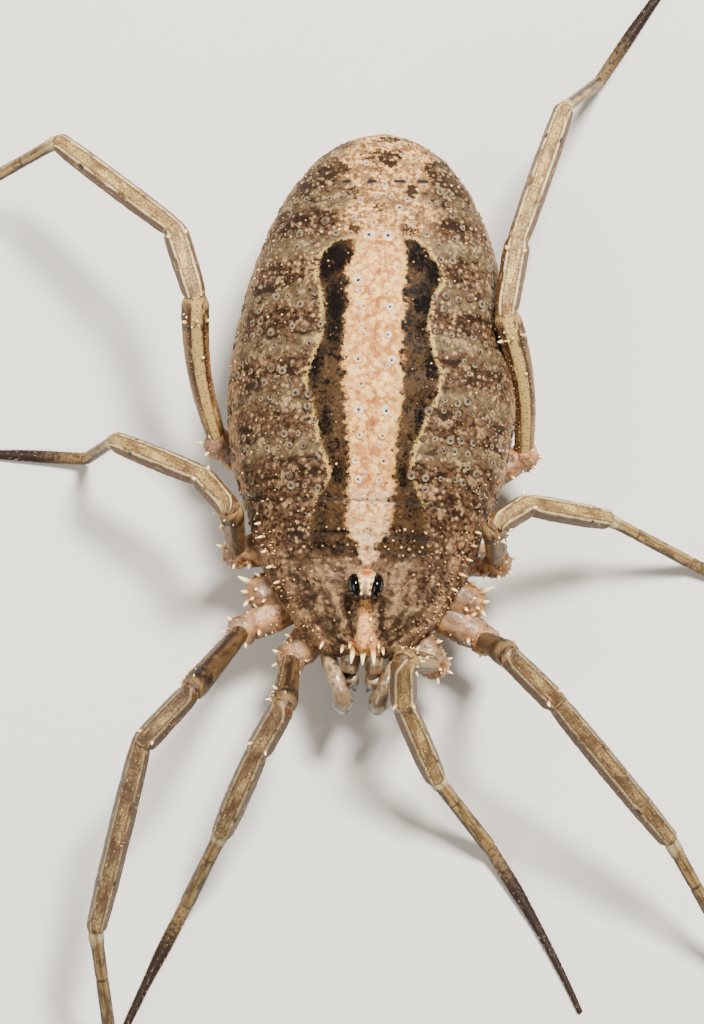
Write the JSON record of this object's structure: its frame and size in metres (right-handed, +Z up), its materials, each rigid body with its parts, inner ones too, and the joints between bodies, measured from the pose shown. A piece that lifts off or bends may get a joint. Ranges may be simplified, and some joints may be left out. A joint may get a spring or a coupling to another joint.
{
  "type": "harvestman",
  "caption": "Still, life-size harvestman standing on splayed legs, with a broad saddled back, a small eye mound and a three-pronged front spine.",
  "frame": {"origin": "centre of the bottom of the bounding box, on the floor under the feet", "axes": "+Z up; the head points along -Y; the animal's left side is on +X"},
  "size_m": [0.0218, 0.0284, 0.0045],
  "materials": {
    "body_skin": "matte, granular cuticle with a dark saddle and a pale pink band",
    "eye_mound": "satin cream cuticle",
    "eye_gloss": "wet black gloss",
    "mouthparts": "satin, faintly translucent cuticle",
    "coxae": "satin pinkish cuticle",
    "leg_skin": "satin, striped tan and brown cuticle",
    "tarsi": "satin brown cuticle"
  },
  "bodies": {
    "root": {"chelicera_left": "mouthparts", "chelicera_right": "mouthparts", "eye_left": "eye_gloss", "eye_right": "eye_gloss", "leg_1_left_coxa": "coxae", "leg_1_left_femur": "leg_skin", "leg_1_left_metatarsus": "leg_skin", "leg_1_left_patella": "leg_skin", "leg_1_left_tarsus": "tarsi", "leg_1_left_tibia": "leg_skin", "leg_1_right_coxa": "coxae", "leg_1_right_femur": "leg_skin", "leg_1_right_metatarsus": "leg_skin", "leg_1_right_patella": "leg_skin", "leg_1_right_tarsus": "tarsi", "leg_1_right_tibia": "leg_skin", "leg_2_left_coxa": "coxae", "leg_2_left_femur": "leg_skin", "leg_2_left_metatarsus": "leg_skin", "leg_2_left_patella": "leg_skin", "leg_2_left_tarsus": "tarsi", "leg_2_left_tibia": "leg_skin", "leg_2_right_coxa": "coxae", "leg_2_right_femur": "leg_skin", "leg_2_right_metatarsus": "leg_skin", "leg_2_right_patella": "leg_skin", "leg_2_right_tarsus": "tarsi", "leg_2_right_tibia": "leg_skin", "leg_3_left_coxa": "coxae", "leg_3_left_femur": "leg_skin", "leg_3_left_metatarsus": "leg_skin", "leg_3_left_patella": "leg_skin", "leg_3_left_tarsus": "tarsi", "leg_3_left_tibia": "leg_skin", "leg_3_right_coxa": "coxae", "leg_3_right_femur": "leg_skin", "leg_3_right_metatarsus": "leg_skin", "leg_3_right_patella": "leg_skin", "leg_3_right_tarsus": "tarsi", "leg_3_right_tibia": "leg_skin", "leg_4_left_coxa": "coxae", "leg_4_left_femur": "leg_skin", "leg_4_left_metatarsus": "leg_skin", "leg_4_left_patella": "leg_skin", "leg_4_left_tarsus": "tarsi", "leg_4_left_tibia": "leg_skin", "leg_4_right_coxa": "coxae", "leg_4_right_femur": "leg_skin", "leg_4_right_metatarsus": "leg_skin", "leg_4_right_patella": "leg_skin", "leg_4_right_tarsus": "tarsi", "leg_4_right_tibia": "leg_skin", "ocularium": "eye_mound", "opisthosoma": "body_skin", "pedipalp_left_lower": "mouthparts", "pedipalp_left_upper": "mouthparts", "pedipalp_right_lower": "mouthparts", "pedipalp_right_upper": "mouthparts", "prosoma": "body_skin"}
  },
  "joints": []
}
